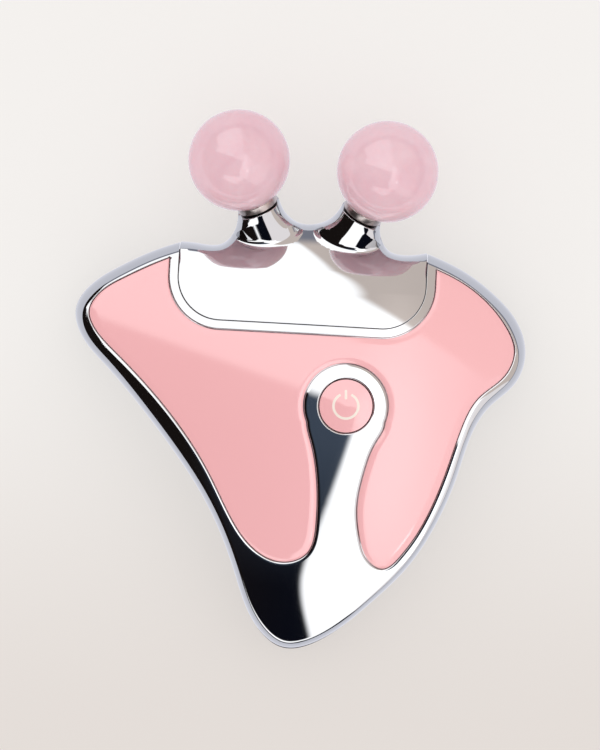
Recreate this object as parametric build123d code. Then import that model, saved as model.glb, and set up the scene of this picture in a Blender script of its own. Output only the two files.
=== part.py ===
"""Facial toning device: a palm-sized chrome and pink body with two stone roller balls on a forked head.

Frame: the device lies on its flat back with its front face up. +X is its right side, +Y points from the
tip to the roller balls, +Z points out of the front face, and z = 0 is the back that it rests on.
All sizes are in millimetres and all angles in degrees.
"""

from build123d import *
import math
import os

# ---- Body form ----
crown_height = 20.0  # highest point of the front face above the back
crown_radius = 156.0  # the front face is part of a large sphere
crown_y = -2.0  # the crown's top lies this far along the device
split_height = 8.0  # the front and rear shells meet here
wall = 2.0  # side walls of both shells
front_roll = 2.0  # rounded front edge
rear_roll = 4.5  # rounded back edge

# Outer outline, from the head's left corner down the left side, round the tip and up to its right corner
outline_points = [
    (-20.5, 27.3), (-24.6, 25.95), (-30.8, 23.4), (-36.5, 20.2), (-41.5, 16.6), (-44.65, 11.2),
    (-42.6, 5.2), (-38.2, 0.7), (-31.0, -6.5), (-23.4, -15.1), (-17.2, -23.2), (-12.4, -31.5),
    (-8.9, -39.6), (-5.2, -47.4), (1.3, -52.55), (9.2, -50.1), (17.8, -42.6), (24.8, -34.6),
    (29.9, -25.2), (33.0, -16.2), (35.0, -8.4), (38.4, -1.9), (42.9, 2.8), (44.7, 8.3),
    (42.5, 15.3), (37.3, 20.5), (31.8, 24.1), (24.6, 27.0), (20.5, 28.3),
]

# ---- Front panel: its edge on each side of the button ring ----
left_edge_points = [
    (-20.0, 25.2), (-26.4, 22.75), (-31.0, 20.5), (-35.6, 17.9), (-39.8, 14.9), (-41.9, 10.9),
    (-40.3, 7.2), (-36.2, 3.2), (-29.6, -2.7), (-22.5, -10.2), (-16.3, -18.5), (-11.2, -27.1),
    (-6.2, -33.2), (0.0, -35.6), (4.5, -33.7), (6.0, -27.5), (5.4, -18.6), (3.7, -11.5), (2.6, -7.6),
    (3.4, -4.6),
]
right_edge_points = [
    (17.6, -5.0), (17.8, -7.6), (16.4, -10.6), (14.5, -16.8), (13.7, -23.4), (14.7, -29.8), (17.0, -34.3), (19.6, -35.5),
    (23.0, -32.8), (27.6, -24.7), (30.9, -14.9), (33.0, -7.0), (36.2, -0.2), (40.5, 3.9),
    (42.4, 9.2), (40.1, 14.4), (35.6, 19.1), (30.6, 22.3), (26.3, 24.1), (20.0, 26.3),
]
panel_thickness = 1.5
panel_gap = 0.12  # open line round the panel
panel_proud = 0.3  # the panel stands above the chrome round it
panel_edge = 0.35  # rounding of the panel's edge
panel_floor = 1.5  # shell under the panel

# ---- Bay that holds the head, and the head ----
head_tilt = 1.3  # the head sits turned a little in the body
bay_half_width = 24.5
bay_bottom = 11.3
bay_corner = 8.6
bay_rim = 1.75  # chrome between the bay and the panel
bay_depth = 60.0  # the bay's cutting shape runs out past the body's top
seam = 0.12  # open line between head and body
chamfer_start = 21.0  # the head's front slopes down from here
chamfer_angle = 31.0
shoulder_y = 26.6
shoulder_low = 7.3  # the shoulders' front face ends at this height and rolls under
shoulder_roll = 2.2
shoulder_under_roll = 3.0
web_y = 31.3  # bottom of the notch between the necks
web_low = 6.7  # the bridge's front face ends at this height and slopes under
web_roll = 3.5
web_under_roll = 2.0
head_back = 21.2  # the head's flat back ends here
notch_half_width = 4.2
arm_half_width = 3.4
arm_reach = 11.5  # an arm ends this far from the ball's centre, seen from the front
flare_x = 15.0  # an arm's side meets the shoulder here
flare_radius = 5.0
head_side = 18.4  # half width of the forked middle block
head_wall = 2.6
head_cavity_half_width = 18.0
head_cavity_top = 21.8
head_cavity_height = 10.0

# ---- Rollers ----
ball_diameter = 20.0
ball_spacing = 29.3
ball_y = 42.65
ball_height = 17.5
toe_angle = 27.2  # each roller axis leans out from +Y, seen from the front
lift_angle = 26.0  # and rises towards the front
collar_radius = 4.1
collar_thickness = 1.45
running_gap = 0.3  # end gap between turning and fixed parts
running_clearance = 0.05  # radial clearance of a turning fit
glue_gap = 0.03
neck_radius = 4.3
neck_root = 22.0  # the neck reaches this far from the ball's centre into the head
shaft_radius = 1.5
shaft_tip = 0.6  # the shaft ends this far past the ball's centre
shaft_end = 27.2  # and this far from it inside the head
bush_radius = 3.0
bush_shoulder = 0.9  # distance of the clip's seat from the ball's centre
bush_pocket_radius = 2.35
bush_floor = 1.0
clip_radius = 2.1
clip_thickness = 0.5
clip_groove = 0.35
nut_seat = 24.6
nut_thickness = 1.6
nut_radius = 2.6
nut_pocket_radius = 3.05
tag_thickness = 0.4
tag_radius = 2.4

# ---- Button ----
button_x = 10.03
button_y = -3.94
button_radius = 5.2
button_clearance = 0.2
ring_width = 2.9  # chrome ring round the button's hole
button_dome = 0.45
button_skirt = 3.2
flange_width = 1.0
flange_thickness = 0.9
button_travel = 0.4
stem_radius = 1.5
symbol_radius = 2.7
symbol_stroke = 0.5
symbol_gap_angle = 25.0
symbol_bar_start = 1.3
symbol_bar_length = 1.9
symbol_turn = 4.4  # the sign stands a little turned in the body
symbol_depth = 0.4

# ---- Electronics ----
floor_thickness = 1.5  # rear shell above its panel
rear_panel_thickness = 1.2
rear_panel_gap = 0.15
tape_thickness = 0.05
rear_panel_inset = 5.0  # chrome margin round the rear panel
board_length = 35.0
board_width = 20.5
board_x = 6.5
board_y = -4.25
board_bottom = 9.0
board_thickness = 1.0
board_corner_inset = 2.0
post_radius = 1.9
battery_length = 26.0
battery_width = 17.0
battery_thickness = 4.6
pad_thickness = 0.5
switch_size = 6.0
switch_height = 3.0
plunger_rise = 1.0
plunger_depth = 1.0
motor_x = 10.0
motor_y = -21.0  # wired end of the motor
motor_height = 7.0
motor_radius = 3.0
motor_length = 12.0
boot_thickness = 0.8
boot_length = 8.0
cradle_thickness = 1.5
motor_shaft_radius = 0.5
motor_shaft_reach = 4.6
weight_radius = 2.8
weight_length = 3.2
port_x = -36.0
port_y = 20.4
port_angle = 119.3  # direction in which the charging port faces
port_width = 8.94
port_height = 3.26
port_length = 7.3
port_wall = 0.3
port_clearance = 0.15
port_board_thickness = 0.8
port_board_width = 11.0
port_board_length = 9.0
lead_radius = 0.45
lead_bend = 1.2

# ---- Fasteners ----
case_screw_places = [(-32.3, 5.2), (32.5, 5.2), (2.5, -40.0), (-15.0, -9.0), (23.5, -18.0)]
boss_radius = 2.75
screw_radius = 1.0
screw_head_radius = 1.9
screw_head_height = 1.3
screw_length = 9.0
screw_clearance = 0.15
pilot_clearance = 0.03
head_screw_x = 12.0
head_screw_height = 4.9
head_screw_length = 7.0
head_boss_radius = 2.6
board_screw_radius = 0.8
board_screw_length = 4.0
gasket_inset = 0.6
gasket_width = 0.8
gasket_depth = 0.7
gasket_clearance = 0.06

# ---- Sizes worked out from the ones above ----
ball_radius = ball_diameter / 2
collar_seat = math.sqrt(ball_radius**2 - collar_radius**2)
neck_start = collar_seat + collar_thickness + running_gap
hole_radius = button_radius + button_clearance
ring_radius = hole_radius + ring_width
board_top = board_bottom + board_thickness
case_floor = rear_panel_thickness + floor_thickness
roof_sink = panel_proud + panel_thickness + panel_floor
boot_radius = motor_radius + boot_thickness
cut_height = 40.0  # cutting shapes are this tall


# ---- Shared shapes ----
def crown(sink):
    """The ball whose cap is the front face, lowered by sink, with its seam turned to the back."""
    return Pos(0, crown_y, crown_height - crown_radius) * Rot(0, 90, 0) * Sphere(crown_radius - sink)


def crown_z(x, y, sink):
    """Height of the front face, lowered by sink, at a point."""
    reach = x**2 + (y - crown_y) ** 2
    return crown_height - crown_radius + math.sqrt((crown_radius - sink) ** 2 - reach)


def under_crown(plan, base, sink):
    """A plan raised from base to the front face, lowered by sink."""
    return extrude(Pos(0, 0, base) * plan, amount=crown_height) & crown(sink)


def bay_plan(growth):
    """Plan of the bay in the body's top, grown on all sides."""
    width = 2 * (bay_half_width + growth)
    shape = RectangleRounded(width, bay_depth, bay_corner + growth)
    return Rot(0, 0, head_tilt) * Pos(0, bay_bottom - growth + bay_depth / 2) * shape


def inner_curve(points, inset):
    """Smooth curve through the points after each is moved to the curve's left by inset."""
    curve = Spline(*points)
    moved = []
    for x, y in points:
        along = curve.tangent_at(curve.param_at_point((x, y)))
        moved.append((x - inset * along.Y, y + inset * along.X))
    return Spline(*moved)


def outline_plan(inset):
    """Plan of the body without its bay, drawn in by inset."""
    edge = inner_curve(outline_points, inset)
    return make_face([edge, Line(edge @ 1, edge @ 0)])


def body_plan(inset):
    return outline_plan(inset) - bay_plan(inset)


def panel_plan(gap):
    """Plan of the front panel, drawn in by gap."""
    left = inner_curve(left_edge_points, gap)
    right = inner_curve(right_edge_points, gap)
    plan = make_face([left, Line(left @ 1, right @ 0), right, Line(right @ 1, left @ 0)])
    ring = Pos(button_x, button_y) * Circle(ring_radius + gap)
    return plan - ring - bay_plan(bay_rim + gap)


def rear_panel_plan(gap):
    """Plan of the rear panel, drawn in by gap."""
    inset = rear_panel_inset + gap
    return outline_plan(inset) - bay_plan(inset - wall)


def rod(radius, start, end):
    """A round bar on the local Z axis from start to end."""
    return Pos(0, 0, (start + end) / 2) * Cylinder(radius, abs(end - start))


def post(place, radius, bottom, top):
    return Pos(place[0], place[1], 0) * rod(radius, bottom, top)


def longest_edge(solid, low, high):
    """The outline's edge among those whose centre is between two heights."""
    return solid.edges().filter_by_position(Axis.Z, low, high).sort_by(SortBy.LENGTH)[-1]


def lead(points):
    """One insulated wire along straight runs joined by arcs."""
    path = FilletPolyline(*points, radius=lead_bend)
    start = Plane(origin=path @ 0, z_dir=path % 0)
    return sweep(start * Circle(lead_radius), path)


def screw(radius, length, head_radius, head_height):
    """A cross-head screw whose head stands on z = 0 and whose shank points down."""
    head = rod(head_radius, 0, head_height)
    slot_depth = head_height * 0.55
    for turn in (0, 90):
        bar = Box(head_radius * 1.2, head_radius * 0.28, slot_depth)
        head -= Rot(0, 0, turn) * Pos(0, 0, head_height - slot_depth / 2) * bar
    return head + rod(radius, -length, 0)


# ---- Port frame ----
def port_frame():
    """Local Z points out of the charging port and local X runs along the body's side."""
    out = (math.cos(math.radians(port_angle)), math.sin(math.radians(port_angle)), 0)
    along = (out[1], -out[0], 0)
    return Plane(origin=(port_x, port_y, split_height), x_dir=along, z_dir=out)


def port_slot():
    opening = SlotOverall(port_width + 2 * port_clearance, port_height + 2 * port_clearance)
    return port_frame() * extrude(Pos(0, 0, -port_length) * opening, amount=2 * port_length)


# ---- Body pieces ----
def lead_notch():
    """Gap in the bay's wall for the wires to the head."""
    half = head_cavity_half_width / 3
    place = Pos(0, bay_bottom, split_height - (split_height - case_floor) / 4)
    return Rot(0, 0, head_tilt) * place * Box(2 * half, 4 * wall, (split_height - case_floor) / 2)


def gasket_ring(slack):
    inner = body_plan(gasket_inset + gasket_width - slack)
    ring = body_plan(gasket_inset + slack) - inner
    height = gasket_depth - slack
    return extrude(Pos(0, 0, split_height - gasket_depth) * ring, amount=height)


def case_gasket():
    return gasket_ring(gasket_clearance) - port_slot() - lead_notch()


def rear_shell():
    shell = extrude(body_plan(0), amount=split_height)
    shell = fillet(longest_edge(shell, -0.1, 0.1), rear_roll)
    shell -= extrude(Pos(0, 0, case_floor) * body_plan(wall), amount=cut_height)
    shell -= extrude(rear_panel_plan(0), amount=rear_panel_thickness)
    for place in case_screw_places:
        shell += post(place, boss_radius, case_floor, split_height)
        shell -= post(place, screw_radius + screw_clearance, 0, split_height)
        seat = rear_panel_thickness + screw_head_height + screw_clearance
        shell -= post(place, screw_head_radius + screw_clearance, 0, seat)
    for place in board_corners():
        shell += post(place, post_radius, case_floor, board_bottom)
        shell -= post(place, board_screw_radius + pilot_clearance, case_floor + 1, board_bottom)
    shell += motor_cradle() + port_posts()
    for side in (-1, 1):
        hole = rod(screw_radius + screw_clearance, -wall * 2, wall * 2)
        shell -= head_screw_frame(side) * hole
    shell -= gasket_ring(0) + port_slot() + lead_notch()
    return shell


def front_bezel():
    shell = under_crown(body_plan(0), split_height, panel_proud)
    rim = longest_edge(shell, split_height + 1, crown_height)
    shell = fillet(rim, front_roll)
    shell -= under_crown(body_plan(wall), split_height - 1, roof_sink)
    recess = extrude(Pos(0, 0, split_height) * panel_plan(0), amount=cut_height)
    shell -= recess - crown(panel_proud + panel_thickness - panel_proud)
    for place in case_screw_places:
        shell += under_crown(Pos(*place) * Circle(boss_radius), split_height, roof_sink)
        shell -= post(place, screw_radius + pilot_clearance, split_height, case_screw_tip() + 0.5)
    shell -= post((button_x, button_y), hole_radius, split_height, cut_height)
    return shell - port_slot()


def front_panel():
    panel = under_crown(panel_plan(panel_gap), split_height, 0) - crown(panel_thickness)
    top = panel.faces().sort_by(Axis.Z)[-1]
    return fillet(top.edges(), panel_edge)


def rear_panel():
    return extrude(rear_panel_plan(rear_panel_gap), amount=rear_panel_thickness - tape_thickness)


# ---- Head ----
def head_plan():
    """Plan of the forked block that carries the two necks."""
    lean = math.radians(toe_angle)
    end_x = ball_spacing / 2 - arm_reach * math.sin(lean)
    end_y = ball_y - arm_reach * math.cos(lean)
    side_x = arm_half_width * math.cos(lean)
    side_y = arm_half_width * math.sin(lean)
    half = [
        (head_side, bay_bottom + bay_corner),
        (head_side, shoulder_y),
        (flare_x, shoulder_y),
        (end_x + side_x, end_y - side_y),
        (end_x - side_x, end_y + side_y),
        (notch_half_width, web_y),
    ]
    mirrored = [(-x, y) for x, y in reversed(half)]
    plan = make_face(Polyline(*half, *mirrored, close=True))
    inner = [v for v in plan.vertices() if abs(v.Y - web_y) < 0.01 or abs(abs(v.X) - flare_x) < 0.01]
    return fillet(inner, flare_radius)


def side_profile(front, low, roll, under_roll):
    """Side profile across the head: crown, sloping top, upright front, and rounded underside."""
    top = crown_z(0, chamfer_start, panel_proud)
    corner = top - (front - chamfer_start) * math.tan(math.radians(chamfer_angle))
    points = [(0, cut_height), (chamfer_start, cut_height), (chamfer_start, top)]
    points += [(front, corner), (front, low), (head_back, 0), (0, 0)]
    profile = make_face(Polyline(*points, close=True))
    for place, radius in (((front, corner), roll), ((front, low), under_roll)):
        at_place = [v for v in profile.vertices() if math.dist((v.X, v.Y), place) < 0.01]
        profile = fillet(at_place, radius)
    return extrude(Plane.YZ * profile, amount=cut_height, both=True)


def head_block():
    shoulders = under_crown(bay_core(), 0, panel_proud)
    shoulders &= side_profile(shoulder_y, shoulder_low, shoulder_roll, shoulder_under_roll)
    middle = under_crown(head_plan(), 0, panel_proud)
    middle &= side_profile(web_y, web_low, web_roll, web_under_roll)
    return Rot(0, 0, head_tilt) * (shoulders + middle)


def bay_core():
    """The bay's plan, drawn in by the seam and cut off at the shoulders, before the head's turn."""
    width = 2 * (bay_half_width - seam)
    pad = Pos(0, bay_bottom + seam + bay_depth / 2) * RectangleRounded(width, bay_depth, bay_corner - seam)
    return pad & Pos(0, shoulder_y / 2) * Rectangle(width, shoulder_y)


def head_shell():
    head = head_block()
    cavity_y = (bay_bottom + head_cavity_top) / 2
    cavity_z = head_wall + head_cavity_height / 2
    cavity_length = head_cavity_top - bay_bottom
    cavity = Box(2 * head_cavity_half_width, cavity_length, head_cavity_height)
    head -= Rot(0, 0, head_tilt) * Pos(0, cavity_y, cavity_z) * cavity
    for side in (-1, 1):
        frame = roller_frame(side)
        head += frame * rod(neck_radius, -neck_root, -neck_start)
        head -= frame * rod(shaft_radius + glue_gap, -shaft_end, 0)
        head -= frame * rod(nut_pocket_radius, -nut_seat - 4, -nut_seat)
        boss = rod(head_boss_radius, seam, cavity_length)
        pilot = rod(screw_radius + pilot_clearance, 0, head_screw_length)
        head += head_screw_frame(side) * boss
        head -= head_screw_frame(side) * pilot
    return head


def head_screw_frame(side):
    """Local Z points from inside the body through the bay's wall into the head."""
    along = (-math.sin(math.radians(head_tilt)), math.cos(math.radians(head_tilt)), 0)
    place = Rot(0, 0, head_tilt) * Pos(side * head_screw_x, bay_bottom, head_screw_height)
    return Plane(origin=place.position, x_dir=(0, 0, 1), z_dir=along)


def head_screws():
    pieces = []
    for side in (-1, 1):
        shape = screw(screw_radius, head_screw_length, screw_head_radius, screw_head_height)
        pieces.append(head_screw_frame(side) * Pos(0, 0, -wall - running_gap) * Rot(180, 0, 0) * shape)
    return Compound(pieces)


# ---- Rollers ----
def roller_frame(side):
    """Local Z runs along the roller's axis, out of the head, with its origin at the ball's centre."""
    lean = math.radians(toe_angle)
    lift = math.radians(lift_angle)
    out = (side * math.sin(lean) * math.cos(lift), math.cos(lean) * math.cos(lift), math.sin(lift))
    across = (math.cos(lean), -side * math.sin(lean), 0)
    return Plane(origin=(side * ball_spacing / 2, ball_y, ball_height), x_dir=across, z_dir=out)


def roller_ball():
    ball = Sphere(ball_radius) - rod(ball_radius, -2 * ball_radius, -collar_seat)
    return ball - rod(bush_radius + glue_gap, -ball_radius, bush_top())


def bush_top():
    return shaft_tip + running_gap + bush_floor


def roller_bush():
    bush = rod(bush_radius, -collar_seat, bush_top())
    bush -= rod(shaft_radius + running_clearance, -collar_seat, 0)
    return bush - rod(bush_pocket_radius, -bush_shoulder, shaft_tip + running_gap)


def roller_collar():
    collar = rod(collar_radius, -collar_seat - collar_thickness, -collar_seat)
    collar -= rod(shaft_radius + running_clearance, -collar_seat - collar_thickness, 0)
    rims = collar.edges().filter_by(GeomType.CIRCLE).sort_by(SortBy.RADIUS)[-2:]
    return fillet(rims, 0.15)


def roller_shaft():
    shaft = rod(shaft_radius, -shaft_end, shaft_tip)
    groove = rod(shaft_radius, clip_low() - glue_gap, clip_high() + glue_gap)
    return shaft - (groove - rod(shaft_radius - clip_groove, clip_low() - 1, clip_high() + 1))


def clip_low():
    return -bush_shoulder + running_gap / 2


def clip_high():
    return clip_low() + clip_thickness


def shaft_clips():
    """Two open retaining rings, one in each shaft's groove."""
    ring = rod(clip_radius, clip_low(), clip_high())
    ring -= rod(shaft_radius - clip_groove + glue_gap, clip_low(), clip_high())
    ring -= Pos(clip_radius, 0, 0) * Box(2 * clip_radius, shaft_radius, 4)
    return Compound([roller_frame(side) * ring for side in (-1, 1)])


def contact_tags():
    """Two ring terminals that carry the current to the shafts."""
    tag = rod(tag_radius, -nut_seat - tag_thickness, -nut_seat)
    tag -= rod(shaft_radius + glue_gap, -nut_seat - tag_thickness, -nut_seat)
    return Compound([roller_frame(side) * tag for side in (-1, 1)])


def shaft_nuts():
    face = RegularPolygon(nut_radius, 6) - Circle(shaft_radius + glue_gap)
    nut = extrude(Pos(0, 0, -nut_seat - tag_thickness) * face, amount=-nut_thickness)
    return Compound([roller_frame(side) * nut for side in (-1, 1)])


# ---- Button ----
def button_edge_z():
    return crown_z(button_x, button_y, panel_proud)


def flange_top():
    """The flange stays below the shell's lowest point round the hole."""
    reach = hole_radius + flange_width
    return crown_z(button_x + reach, button_y - reach, roof_sink) - running_gap


def button_body():
    """Cap with a shallow dome, a flange that keeps it in the shell, and a stem down to the switch."""
    edge = button_edge_z()
    cap = rod(button_radius, flange_top(), edge + button_dome)
    dome_radius = (button_radius**2 + button_dome**2) / (2 * button_dome)
    cap &= Pos(0, 0, edge + button_dome - dome_radius) * Sphere(dome_radius)
    cap += rod(hole_radius + flange_width, flange_top() - flange_thickness, flange_top())
    cap += rod(stem_radius, plunger_top(), flange_top() - flange_thickness)
    return Pos(button_x, button_y, 0) * cap


def symbol_tool():
    """The power sign's open ring and bar, standing through the cap's top."""
    middle = symbol_radius - symbol_stroke / 2
    start = 90 + symbol_gap_angle
    sweep_angle = 360 - 2 * symbol_gap_angle
    arc = CenterArc((0, 0), middle, start, sweep_angle)
    ring = trace(arc, symbol_stroke)
    bar = Pos(0, symbol_bar_start + symbol_bar_length / 2) * SlotOverall(
        symbol_bar_length, symbol_stroke, rotation=90
    )
    bottom = button_edge_z() - symbol_depth
    sign = extrude(ring + bar, amount=symbol_depth + 2 * button_dome)
    return Pos(button_x, button_y, bottom) * Rot(0, 0, symbol_turn) * sign


def button_cap():
    return button_body() - symbol_tool()


def button_symbol():
    return Compound((button_body() & symbol_tool()).solids())


def plunger_top():
    return board_top + switch_height + plunger_rise


def switch_plunger():
    bottom = board_top + switch_height - plunger_depth
    return post((button_x, button_y), stem_radius, bottom, plunger_top())


def tact_switch():
    body = Pos(button_x, button_y, board_top + switch_height / 2)
    body = body * Box(switch_size, switch_size, switch_height)
    bore_bottom = board_top + switch_height - plunger_depth - 2 * button_travel
    return body - post((button_x, button_y), stem_radius + 0.08, bore_bottom, plunger_top())


# ---- Electronics ----
def board_corners():
    dx = board_length / 2 - board_corner_inset
    dy = board_width / 2 - board_corner_inset
    return [(board_x + sx * dx, board_y + sy * dy) for sx, sy in ((-1, 1), (1, -1), (1, 1), (-1, -1))]


def main_board():
    plan = Pos(board_x, board_y) * RectangleRounded(board_length, board_width, 1.0)
    for place in board_corners():
        plan -= Pos(*place) * Circle(board_screw_radius + screw_clearance)
    return extrude(Pos(0, 0, board_bottom) * plan, amount=board_thickness)


def board_screws():
    shape = screw(board_screw_radius, board_screw_length, 2 * board_screw_radius, 1.0)
    return Compound([Pos(*place, board_top) * shape for place in board_corners()])


def board_chips():
    """Controller, charger, coil and capacitors on the board's top."""
    parts = [(-5, 1, 5, 5, 0.9), (-5, -8, 3, 3, 0.9), (1, -8, 4, 4, 2.0), (18, 1, 3, 2, 0.8), (18, -4, 2, 1.2, 0.8)]
    chips = []
    for x, y, length, width, height in parts:
        chips.append(Pos(x, y, board_top + height / 2) * Box(length, width, height))
    return Compound(chips)


def power_led():
    height = 0.7
    place = Pos(button_x + switch_size / 2 + 1.2, button_y, board_top + height / 2)
    return place * Box(1.6, 1.2, height)


def battery():
    bottom = case_floor + pad_thickness
    cell = Box(battery_length, battery_width, battery_thickness)
    cell = Pos(board_x, board_y, bottom + battery_thickness / 2) * cell
    return fillet(cell.edges().filter_by(Axis.X), battery_thickness * 0.35)


def battery_pad():
    pad = Box(battery_length - 4, battery_width - 4, pad_thickness)
    return Pos(board_x, board_y, case_floor + pad_thickness / 2) * pad


def battery_leads():
    start_x = board_x - battery_length / 2
    turn_x = start_x - 2.2
    z = case_floor + pad_thickness + battery_thickness / 2
    leads = []
    for dy in (-1, 1):
        y = board_y + dy
        leads.append(lead([(start_x, y, z), (turn_x, y, z), (turn_x, y, board_bottom)]))
    return Compound(leads)


def motor_frame():
    """Local Z runs along the motor towards the tip, with its origin at the wired end."""
    return Plane(origin=(motor_x, motor_y, motor_height), x_dir=(1, 0, 0), z_dir=(0, -1, 0))


def vibration_motor():
    can = rod(motor_radius, 0, motor_length)
    can = fillet(can.edges(), 0.4)
    bore = rod(motor_shaft_radius + running_clearance, motor_length - 4, motor_length)
    return motor_frame() * (can - bore)


def motor_boot():
    start = (motor_length - boot_length) / 2
    tube = rod(boot_radius, start, start + boot_length)
    return motor_frame() * (tube - rod(motor_radius + glue_gap, start, start + boot_length))


def motor_cradle():
    """Two saddles on the rear shell's floor that hold the motor's boot."""
    saddles = None
    for share in (0.3, 0.7):
        y = motor_y - motor_length / 2 + (share - 0.5) * boot_length
        height = motor_height - case_floor
        block = Pos(motor_x, y, case_floor + height / 2)
        block = block * Box(2 * boot_radius + 2 * cradle_thickness, cradle_thickness, height)
        saddles = block if saddles is None else saddles + block
    return saddles - motor_frame() * rod(boot_radius + glue_gap, 0, motor_length)


def motor_shaft():
    return motor_frame() * rod(motor_shaft_radius, motor_length - 3.5, motor_length + motor_shaft_reach)


def motor_weight():
    """Half disc whose swing makes the device vibrate."""
    start = motor_length + motor_shaft_reach - weight_length
    disc = rod(weight_radius, start, start + weight_length)
    disc -= Pos(0, weight_radius + motor_shaft_radius, start) * Box(
        4 * weight_radius, 2 * weight_radius - motor_shaft_radius, 4 * weight_length
    )
    return motor_frame() * (disc - rod(motor_shaft_radius, start, start + weight_length))


def motor_leads():
    up_y = board_y - board_width / 2 + 0.9
    leads = []
    for dx in (-0.9, 0.9):
        x = motor_x + dx
        z = motor_height
        leads.append(lead([(x, motor_y, z), (x, up_y, z), (x, up_y, board_bottom)]))
    return Compound(leads)


def charge_port():
    outer = extrude(SlotOverall(port_width, port_height), amount=-port_length)
    inner = SlotOverall(port_width - 2 * port_wall, port_height - 2 * port_wall)
    tube = outer - extrude(inner, amount=1 - port_length)
    tongue = Pos(0, 0, -port_length / 2 - 0.6) * Box(port_width * 0.72, 0.7, port_length - 1.2)
    return port_frame() * Pos(0, 0, -port_inset()) * (tube + tongue)


def port_inset():
    return 0.4


def port_board():
    depth = wall + port_board_length / 2 + 0.6
    z = -port_height / 2 - port_board_thickness / 2
    board = Box(port_board_width, port_board_thickness, port_board_length)
    return port_frame() * Pos(0, -z * port_up(), -depth) * board


def port_up():
    """The port frame's local Y points down, so what lies under the port has a positive Y."""
    return port_frame().y_dir.Z * -1


def port_posts():
    top = split_height - port_height / 2 - port_board_thickness
    depth = wall + port_board_length / 2 + 0.6
    posts = None
    for dx in (-port_board_width / 3, port_board_width / 3):
        spot = port_frame().origin + port_frame().x_dir * dx - port_frame().z_dir * depth
        pillar = post((spot.X, spot.Y), 1.4, case_floor, top)
        posts = pillar if posts is None else posts + pillar
    return posts


def port_leads():
    depth = wall + port_board_length + 0.6
    z = split_height - port_height / 2 - port_board_thickness / 2
    end_x = board_x - board_length / 2 + 1.0
    leads = []
    for row in (-0.7, 0.7):
        start = port_frame().origin - port_frame().z_dir * (depth + lead_radius) + port_frame().x_dir * row
        end_y = 0.2 + row
        points = [(start.X, start.Y, z), (-22.5, 4.2 + row, z), (end_x, end_y, z), (end_x, end_y, board_bottom)]
        leads.append(lead(points))
    return Compound(leads)


def head_leads():
    leads = []
    z = split_height - 2.2
    for side in (-1, 1):
        tag = roller_frame(side).origin - roller_frame(side).z_dir * (nut_seat + tag_thickness / 2)
        x = tag.X
        end_y = board_y + board_width / 2 - 0.8
        leads.append(lead([(x, head_cavity_top - 3, z), (x, end_y, z), (x, end_y, board_bottom)]))
    return Compound(leads)


def case_screw_tip():
    return rear_panel_thickness + screw_head_height + screw_length


def case_screws():
    shape = screw(screw_radius, screw_length, screw_head_radius, screw_head_height)
    seat = rear_panel_thickness + screw_head_height
    return Compound([Pos(*place, seat) * Rot(180, 0, 0) * shape for place in case_screw_places])


# ---- Assembly ----
def roller_nodes():
    nodes = {}
    for name, side in (("left", -1), ("right", 1)):
        frame = roller_frame(side)
        nodes[f"{name}_roller_ball"] = frame * roller_ball()
        nodes[f"{name}_roller_bush"] = frame * roller_bush()
        nodes[f"{name}_roller_collar"] = frame * roller_collar()
        nodes[f"{name}_roller_shaft"] = frame * roller_shaft()
    return nodes


def all_nodes():
    makers = [
        rear_shell, front_bezel, front_panel, rear_panel, case_gasket, head_shell, head_screws,
        shaft_clips, contact_tags, shaft_nuts, button_cap, button_symbol, switch_plunger, tact_switch,
        main_board, board_screws, board_chips, power_led, battery, battery_pad, battery_leads,
        vibration_motor, motor_boot, motor_shaft, motor_weight, motor_leads, charge_port, port_board,
        port_leads, head_leads, case_screws,
    ]
    nodes = {maker.__name__: maker() for maker in makers}
    nodes.update(roller_nodes())
    return nodes


os.makedirs("parts", exist_ok=True)
for node_name, shape in all_nodes().items():
    export_step(shape, f"parts/{node_name}.step")
    print(node_name, len(shape.solids()), round(shape.volume, 1))
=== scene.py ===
# %% [markdown]
# A facial toning device: a chrome-plated, palm-sized body with a glossy pink panel, a round button and
# two rose quartz balls on a forked head. The solids come packed from the CAD model, and this notebook
# gives them their finishes and rebuilds the mirror-bright pieces as clean meshes in the same frame.

# %% Load the frame
import math

import bpy
import numpy as np
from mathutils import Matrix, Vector
from mathutils.geometry import delaunay_2d_cdt


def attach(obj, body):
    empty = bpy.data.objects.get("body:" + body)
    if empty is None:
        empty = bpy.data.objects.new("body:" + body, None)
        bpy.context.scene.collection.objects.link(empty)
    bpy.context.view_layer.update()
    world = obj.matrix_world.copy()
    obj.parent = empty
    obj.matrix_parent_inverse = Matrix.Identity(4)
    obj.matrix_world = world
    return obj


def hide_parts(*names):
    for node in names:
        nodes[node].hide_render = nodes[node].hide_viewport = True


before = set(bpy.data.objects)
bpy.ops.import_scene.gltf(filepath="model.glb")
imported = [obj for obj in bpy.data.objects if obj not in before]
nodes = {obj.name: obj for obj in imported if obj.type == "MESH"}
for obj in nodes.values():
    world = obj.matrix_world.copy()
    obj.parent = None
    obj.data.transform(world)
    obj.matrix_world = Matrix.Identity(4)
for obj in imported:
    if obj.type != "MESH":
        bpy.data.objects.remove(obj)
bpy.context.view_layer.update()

# %% [markdown]
# Sizes are written in millimetres, as on a drawing, and turned to metres where Blender needs them.
# These few sizes place everything that is built below; each is the same value as in the CAD source.

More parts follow.
